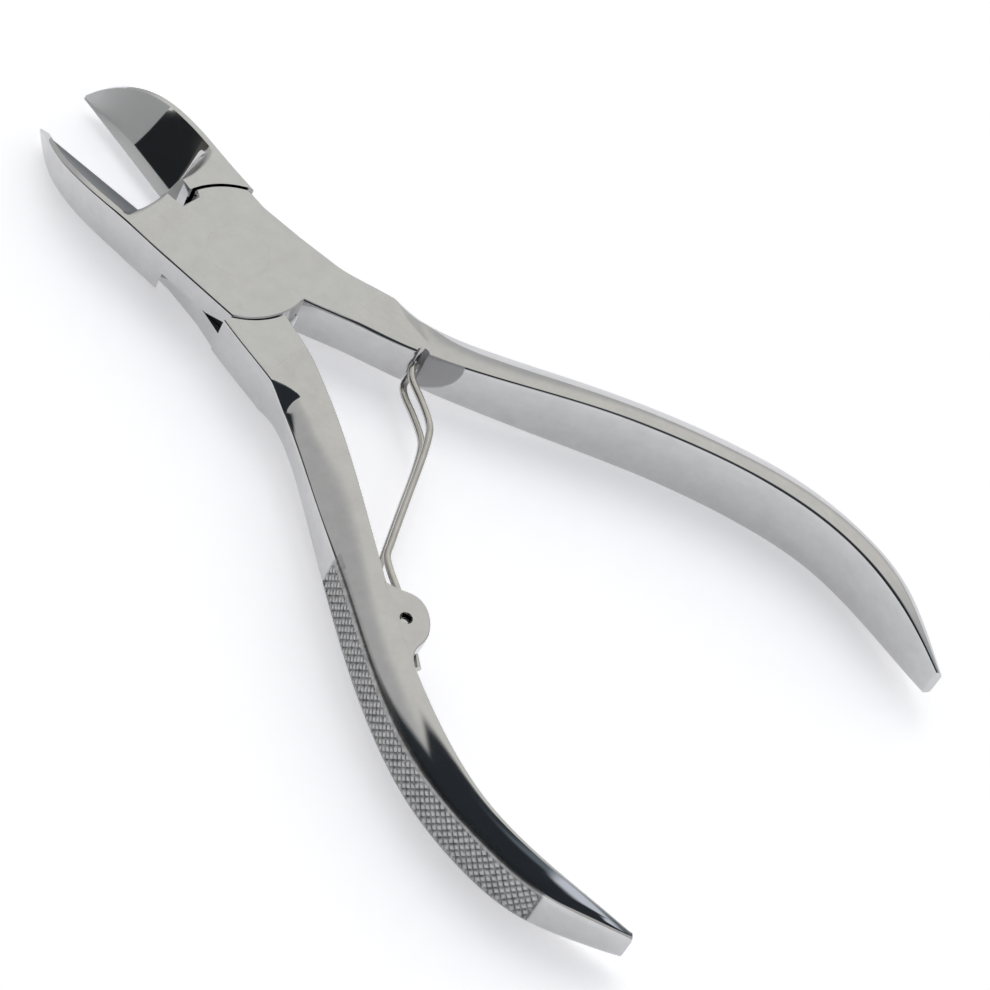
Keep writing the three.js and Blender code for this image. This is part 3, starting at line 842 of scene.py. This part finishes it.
pin = drum("pin", PIN_R, -PIN_HALF, PIN_HALF, PIN_X, PIN_Y, segments=40, round_low=0.15, round_high=0.15)
finish_mesh(pin)
place(pin, "pin_riveted", "lever_b", "spring_pin", pin_steel)

wire = finish_mesh(spring(), angle=60, weight=False)
place(wire, "spring_bent_wire", None, "spring", wire_steel)
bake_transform(wire)


# --- floor, light and camera ------------------------------------------------------------------------
FLOOR_HALF = 3.0
FLOOR_GLOW = 0.36  # keeps the paper bright in the tool's polished walls
floor_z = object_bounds()[0][2] - 0.00002
corners = [(-1, -1), (1, -1), (1, 1), (-1, 1)]
sheet = [(FLOOR_HALF * x, FLOOR_HALF * y, floor_z) for x, y in corners]
floor = mesh_object("floor", sheet, [(0, 1, 2, 3)])
paper = Nodes("floor_paper")
tone = paper.ramp(paper.noise(400.0, 2.0), (0.3, (0.91, 0.91, 0.93)), (0.7, (0.93, 0.93, 0.95)))
paper.wire(Base_Color=tone, Roughness=0.9, Emission_Color=(0.97, 0.97, 1, 1), Emission_Strength=FLOOR_GLOW)
floor.data.materials.append(paper.material)


def dome(across, away):
    """A direction on the dome: straight up at (0, 0), level at a distance of 1."""
    tilt = math.hypot(across, away) * math.pi / 2
    bearing = math.atan2(away, across)
    return Vector((math.sin(tilt) * math.cos(bearing), math.sin(tilt) * math.sin(bearing), math.cos(tilt)))


# The studio the polished steel mirrors. Each panel has soft edges, a colour and corners on the dome,
# listed counter-clockwise; a later panel hangs in front of an earlier one.
SKY = 0.58
CANOPY = (0.030, 0.036, 0.043)
PANELS = {
    "room": (0.06, (0.11, 0.105, 0.095), [
        (-1.00, -0.34), (-0.60, -0.86), (0.45, -0.95), (0.30, -0.62), (-0.66, -0.26),
    ]),
    "softbox": (0.16, (0.84, 0.83, 0.79), [
        (0.10, 0.95), (-0.35, 0.85), (-0.42, 0.10), (-0.34, -0.14), (0.0, 0.2),
    ]),
    "canopy": (0.025, CANOPY, [
        (-0.055, 0.34), (-0.245, 0.05), (-0.28, -0.16), (-0.28, -0.58), (0.52, -0.62),
        (0.44, -0.10), (0.30, 0.30),
    ]),
    "canopy_wing": (0.03, CANOPY, [
        (-0.24, -0.11), (-0.54, -0.35), (-0.50, -0.50), (-0.20, -0.58),
    ]),
    "canopy_haze": (0.06, (0.16, 0.19, 0.22), [
        (-0.01, 0.36), (-0.09, 0.14), (0.40, 0.06), (0.32, 0.36),
    ]),
    "strip_light": (0.05, (0.80, 0.85, 0.95), [
        (0.12, 0.28), (0.03, 0.30), (0.08, 0.06), (0.26, -0.10), (0.36, -0.06),
    ]),
    "front_flag": (0.05, (0.022, 0.025, 0.028), [
        (-0.42, -0.33), (-0.44, -0.60), (-0.44, -0.90), (-0.16, -0.97), (-0.18, -0.33),
    ]),
}


def world_light():
    """Paints the panels over the sky; a panel's mask is the product of its edges' soft half-spaces."""
    world = bpy.data.worlds.new("studio")
    world.use_nodes = True
    bpy.context.scene.world = world
    tree = world.node_tree
    background = tree.nodes["Background"]
    direction = tree.nodes.new("ShaderNodeTexCoord").outputs["Generated"]

    def add(kind, inputs, output, **settings):
        node = tree.nodes.new(kind)
        for key, value in settings.items():
            setattr(node, key, value)
        for key, value in inputs.items():
            if isinstance(value, bpy.types.NodeSocket):
                tree.links.new(value, node.inputs[key])
            else:
                node.inputs[key].default_value = value
        return node.outputs[output]

    colour = (SKY, SKY, SKY, 1)
    for soft, level, corners in PANELS.values():
        mask = 1.0
        points = [dome(*corner) for corner in corners]
        for i, point in enumerate(points):
            edge = point.cross(points[(i + 1) % len(points)]).normalized()
            side = add("ShaderNodeVectorMath", {0: direction, 1: edge}, "Value", operation="DOT_PRODUCT")
            inputs = {"Value": side, "From Min": -soft, "From Max": soft}
            inside = add("ShaderNodeMapRange", inputs, "Result", interpolation_type="SMOOTHSTEP")
            mask = add("ShaderNodeMath", {0: mask, 1: inside}, 0, operation="MULTIPLY")
        colour = add("ShaderNodeMix", {0: mask, 6: colour, 7: (*level, 1)}, 2, data_type="RGBA")
    tree.links.new(colour, background.inputs["Color"])


def soft_light(name, energy, spread, tilt):
    """Light for the paper and the satin surfaces, too wide to throw hard shadows."""
    light = bpy.data.lights.new(name, "SUN")
    light.energy = energy
    light.angle = math.radians(spread)
    obj = bpy.data.objects.new(name, light)
    obj.rotation_euler = [math.radians(angle) for angle in tilt]
    obj.visible_glossy = False
    bpy.context.scene.collection.objects.link(obj)


world_light()
soft_light("key", 0.5, 40, (-20, -25, 0))
soft_light("fill", 0.7, 150, (0, 0, 0))

# A long lens, from in front and above, rolled so that the tool lies across the picture.
CAMERA_SENSOR = 36
CAMERA_LENS = 152.44
CAMERA_PLACE = Vector((146.662, -303.963, 397.053)) * MM
CAMERA_VIEW = Vector((-0.202354, 0.602814, -0.771796)).normalized()
CAMERA_RIGHT = Vector((0.69392, 0.644368, 0.32135)).normalized()
camera_data = bpy.data.cameras.new("camera")
camera_data.sensor_width = CAMERA_SENSOR
camera_data.lens = CAMERA_LENS
camera_data.clip_start = 0.01
camera_data.clip_end = 20
camera = bpy.data.objects.new("camera", camera_data)
turn = Matrix((CAMERA_RIGHT, CAMERA_RIGHT.cross(CAMERA_VIEW), -CAMERA_VIEW)).transposed().to_4x4()
camera.matrix_world = Matrix.Translation(CAMERA_PLACE) @ turn
bpy.context.scene.collection.objects.link(camera)
bpy.context.scene.camera = camera
bpy.context.scene.view_settings.view_transform = "Standard"
